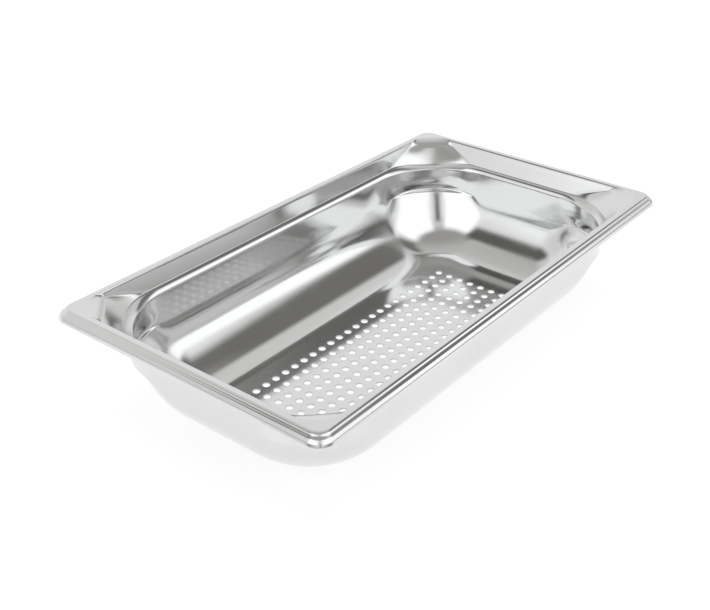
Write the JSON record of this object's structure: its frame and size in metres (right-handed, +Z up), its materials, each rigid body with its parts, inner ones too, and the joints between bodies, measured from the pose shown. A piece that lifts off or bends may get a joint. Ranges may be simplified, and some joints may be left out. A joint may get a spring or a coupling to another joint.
{
  "type": "perforated steam-table pan",
  "caption": "Shallow rectangular pan drawn from one steel sheet, with a stepped hanging rim and a flat floor perforated all over for draining.",
  "frame": {"origin": "centre of the pan's outline, at the height of the underside of its floor, which it stands on", "axes": "+X along the pan's longer side, +Y along its shorter side, +Z up out of its open mouth"},
  "size_m": [0.325, 0.176, 0.065],
  "materials": {
    "steel": "satin stainless steel, cold drawn, with fine rub marks inside"
  },
  "bodies": {
    "root": {"perforated_pan": "steel"}
  },
  "joints": []
}
